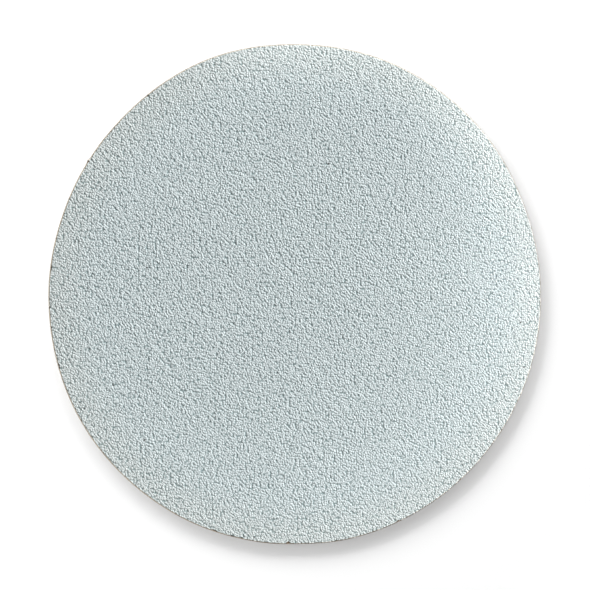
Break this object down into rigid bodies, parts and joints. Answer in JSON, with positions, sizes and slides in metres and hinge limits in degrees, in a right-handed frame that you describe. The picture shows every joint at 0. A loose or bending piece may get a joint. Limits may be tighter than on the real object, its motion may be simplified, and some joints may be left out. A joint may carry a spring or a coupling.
{
  "type": "hook and loop sanding disc",
  "caption": "Round abrasive disc with no dust holes: pale coated grit on a paper backing, with a loop fabric back that grips a hook-faced sander pad.",
  "frame": {"origin": "centre of the loop face, on the surface that the disc lies on", "axes": "+Z out through the grit face, square to the disc; X and Y are any two directions across it"},
  "size_m": [0.125, 0.125, 0.0015],
  "materials": {
    "coat": "rough matte resin over coarse grit, pale grey-green stearate top coat",
    "paper": "heavy tan backing paper with a die-cut edge",
    "loop": "brushed knit loop fabric, off-white"
  },
  "bodies": {
    "root": {"abrasive_coat": "coat", "backing_paper": "paper", "loop_backing": "loop"}
  },
  "joints": []
}
